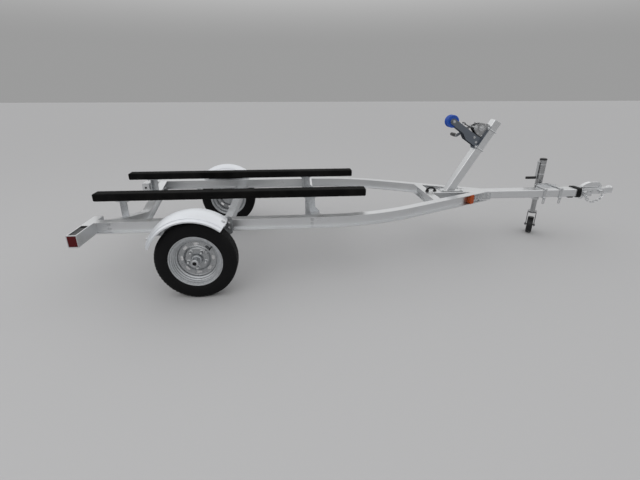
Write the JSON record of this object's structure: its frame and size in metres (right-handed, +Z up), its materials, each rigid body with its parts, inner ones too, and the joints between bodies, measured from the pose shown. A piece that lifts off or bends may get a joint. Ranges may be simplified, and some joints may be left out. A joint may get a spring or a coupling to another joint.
{
  "type": "boat trailer",
  "caption": "Single-axle aluminium bunk trailer for a small boat, with winch stand, bow roller, swing-up caster jack and ball coupler.",
  "frame": {"origin": "centre of the bounding box's footprint, on the ground", "axes": "+X forward to the coupler, +Y to the left side, +Z up"},
  "size_m": [4.132, 1.7, 1.0751],
  "materials": {
    "mill_aluminium": "mill-finish extrusion, faint drawing lines, clear",
    "galvanised_steel": "hot-dip galvanised, mottled grey",
    "zinc_plate": "bright zinc plate",
    "fender_sheet": "rolled sheet, satin, slightly blue-white",
    "grey_plate": "dark grey coated plate",
    "tyre_rubber": "black radial-ribbed tyre",
    "carpet": "black needle-punched marine carpet",
    "blue_urethane": "blue polyurethane roller",
    "red_lens": "red ribbed lens",
    "amber_lens": "amber ribbed lens",
    "black_webbing": "black woven winch strap",
    "black_plastic": "black moulded plastic",
    "black_rubber": "black rubber"
  },
  "bodies": {
    "frame": {"axle_arm_left": "galvanised_steel", "axle_arm_right": "galvanised_steel", "axle_beam": "galvanised_steel", "axle_bracket_left": "galvanised_steel", "axle_bracket_right": "galvanised_steel", "bow_roller_bolt": "zinc_plate", "bow_stop_bracket": "grey_plate", "bunk_left": "carpet", "bunk_posts_left": "galvanised_steel", "bunk_posts_right": "galvanised_steel", "bunk_right": "carpet", "coupler": "zinc_plate", "coupler_latch": "zinc_plate", "cross_member_front": "mill_aluminium", "cross_member_middle": "mill_aluminium", "cross_member_rear": "mill_aluminium", "fender_brackets_left": "galvanised_steel", "fender_brackets_right": "galvanised_steel", "fender_left": "fender_sheet", "fender_right": "fender_sheet", "harness_boot": "black_rubber", "jack_clamps": "zinc_plate", "jack_mount": "zinc_plate", "light_tube_left": "mill_aluminium", "light_tube_right": "mill_aluminium", "rail_left": "mill_aluminium", "rail_right": "mill_aluminium", "safety_chain_left": "zinc_plate", "safety_chain_right": "zinc_plate", "side_marker_left": "amber_lens", "side_marker_right": "amber_lens", "tail_lamp_left": "red_lens", "tail_lamp_right": "red_lens", "tongue": "mill_aluminium", "tongue_joint_plates": "galvanised_steel", "winch_crank": "zinc_plate", "winch_crank_grip": "black_plastic", "winch_drum": "zinc_plate", "winch_frame": "zinc_plate", "winch_hook": "zinc_plate", "winch_post": "mill_aluminium", "winch_post_base": "mill_aluminium", "winch_post_u_bolts": "zinc_plate", "winch_strap": "black_webbing", "wiring_lead": "black_rubber", "wiring_plug": "black_rubber"},
    "wheel_left": {"tyre_left": "tyre_rubber", "wheel_rim_left": "galvanised_steel", "hub_left": "galvanised_steel"},
    "wheel_right": {"tyre_right": "tyre_rubber", "wheel_rim_right": "galvanised_steel", "hub_right": "galvanised_steel"},
    "bow_roller": {"bow_roller": "blue_urethane"},
    "jack_body": {"jack_tube": "zinc_plate", "jack_crank": "zinc_plate", "jack_crank_grip": "black_plastic"},
    "jack_leg": {"jack_leg": "zinc_plate"},
    "caster_fork": {"caster_fork": "zinc_plate"},
    "caster_wheel": {"caster_wheel": "black_plastic"}
  },
  "joints": [
    {"name": "wheel_left_spin", "type": "hinge", "parent": "frame", "child": "wheel_left", "pos_m": [-1.318, 0.736, 0.258], "axis": [0, 1, 0], "continuous": true},
    {"name": "wheel_right_spin", "type": "hinge", "parent": "frame", "child": "wheel_right", "pos_m": [-1.318, -0.736, 0.258], "axis": [0, 1, 0], "continuous": true},
    {"name": "bow_roller_spin", "type": "hinge", "parent": "frame", "child": "bow_roller", "pos_m": [0.56155, 0, 1.02705], "axis": [0, 1, 0], "continuous": true},
    {"name": "jack_swing", "type": "hinge", "parent": "frame", "child": "jack_body", "pos_m": [1.502, 0.112, 0.44], "axis": [0, 1, 0], "range_deg": [0, 90]},
    {"name": "jack_leg_slide", "type": "slide", "parent": "jack_body", "child": "jack_leg", "axis": [0, 0, -1], "range_m": [-0.105, 0.145]},
    {"name": "caster_swivel", "type": "hinge", "parent": "jack_leg", "child": "caster_fork", "pos_m": [1.502, 0.172, 0.2], "axis": [0, 0, 1], "continuous": true},
    {"name": "caster_spin", "type": "hinge", "parent": "caster_fork", "child": "caster_wheel", "pos_m": [1.52358, 0.20328, 0.076], "axis": [0.8231, -0.5678, 0], "continuous": true}
  ]
}
